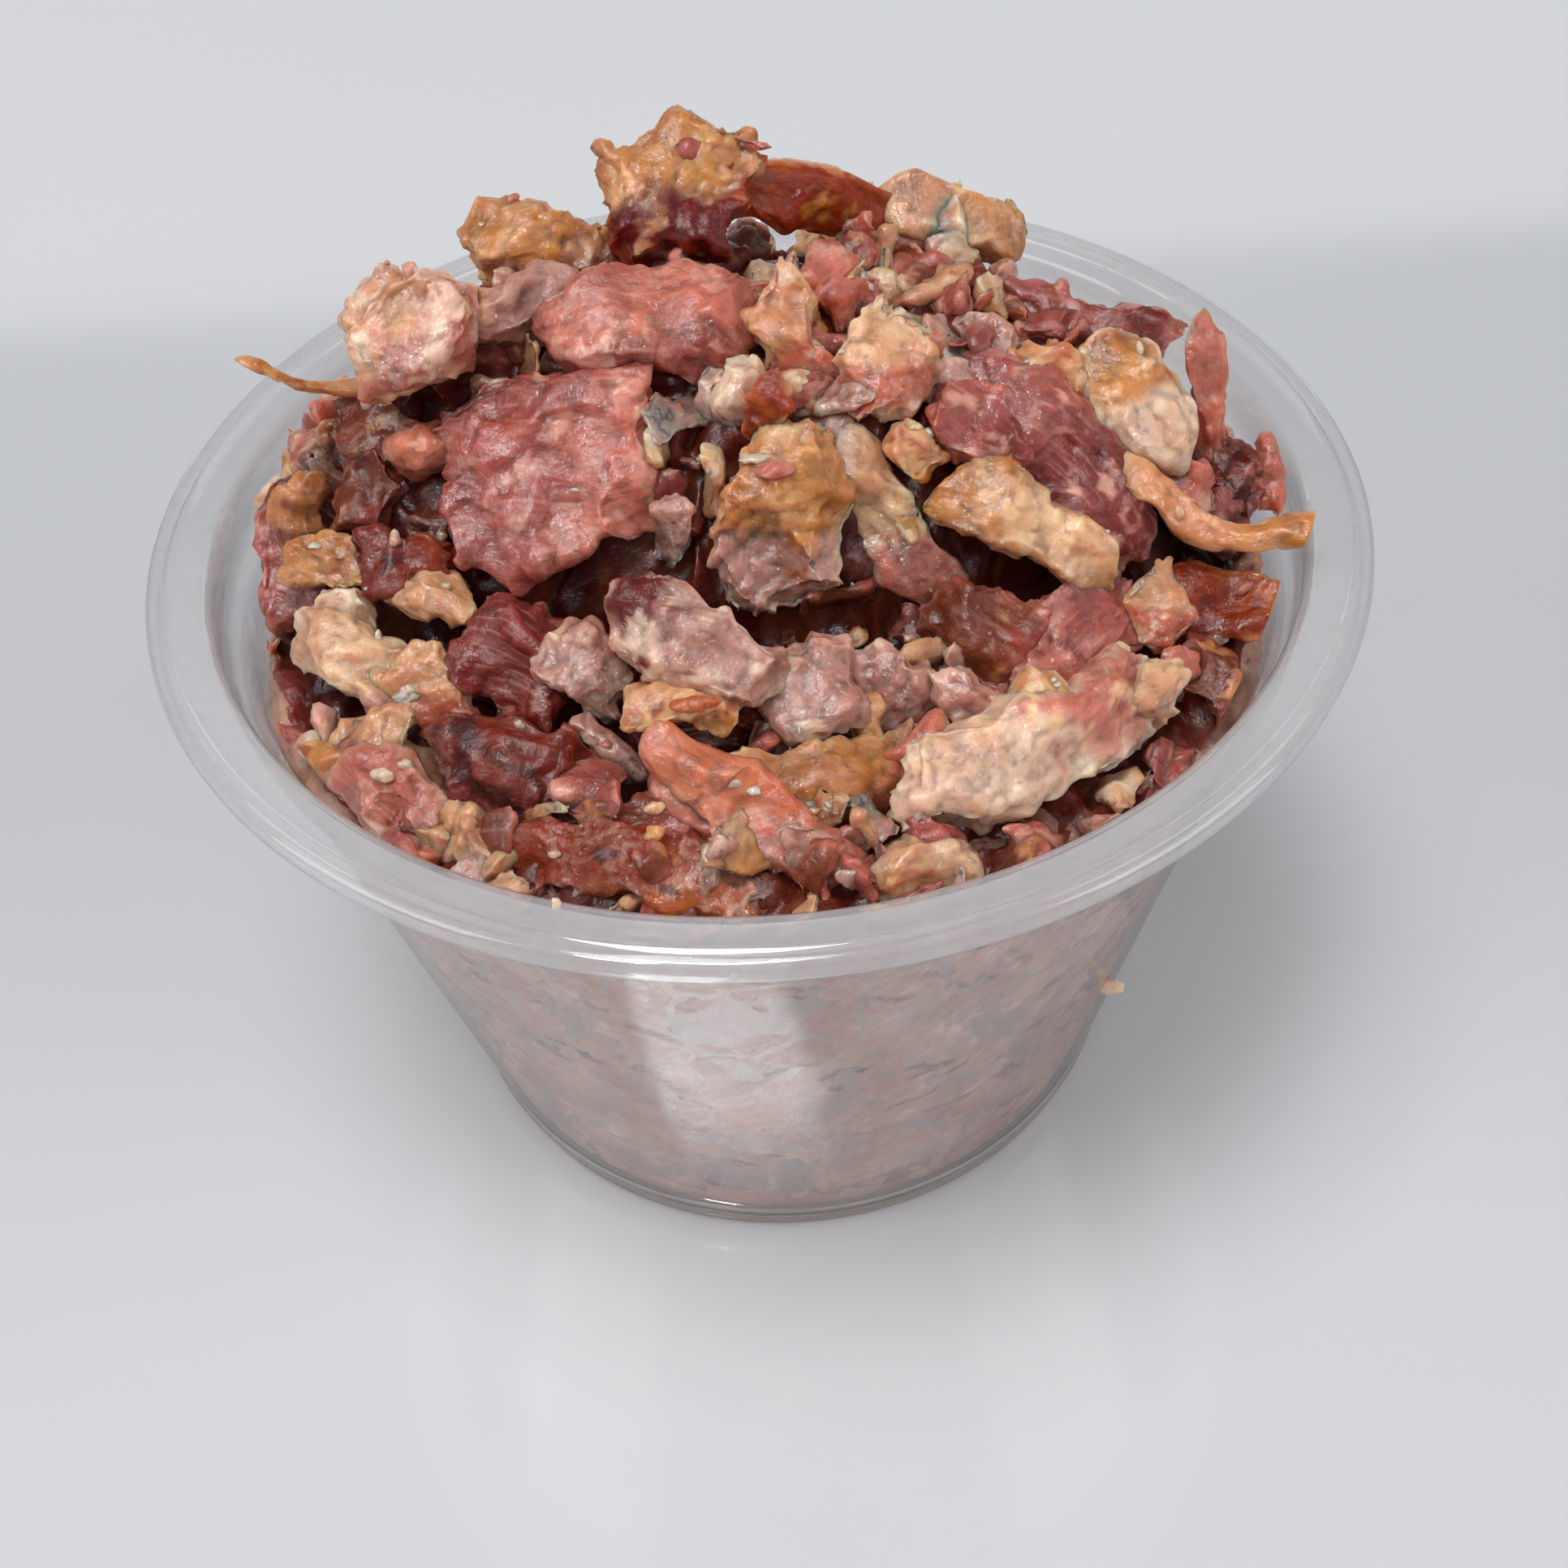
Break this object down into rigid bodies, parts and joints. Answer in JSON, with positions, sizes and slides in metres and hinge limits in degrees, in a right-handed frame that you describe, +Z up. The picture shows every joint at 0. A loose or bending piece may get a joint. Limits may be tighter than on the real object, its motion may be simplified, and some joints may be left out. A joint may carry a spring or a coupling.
{
  "type": "chopped bacon in portion cup",
  "caption": "Small clear tapered portion cup with a flat lip, heaped over the rim with chopped fried bacon.",
  "frame": {"origin": "centre of the cup's foot, on the table", "axes": "+Z up through the cup's rim, -Y towards the pictured side, +X to its right"},
  "size_m": [0.074, 0.074, 0.0647],
  "materials": {
    "clear_cup": "clear, thin and glossy",
    "bacon_heap": "moist fried meat with fat, satin"
  },
  "bodies": {
    "root": {"clear_cup": "clear_cup", "bacon_heap": "bacon_heap"}
  },
  "joints": []
}
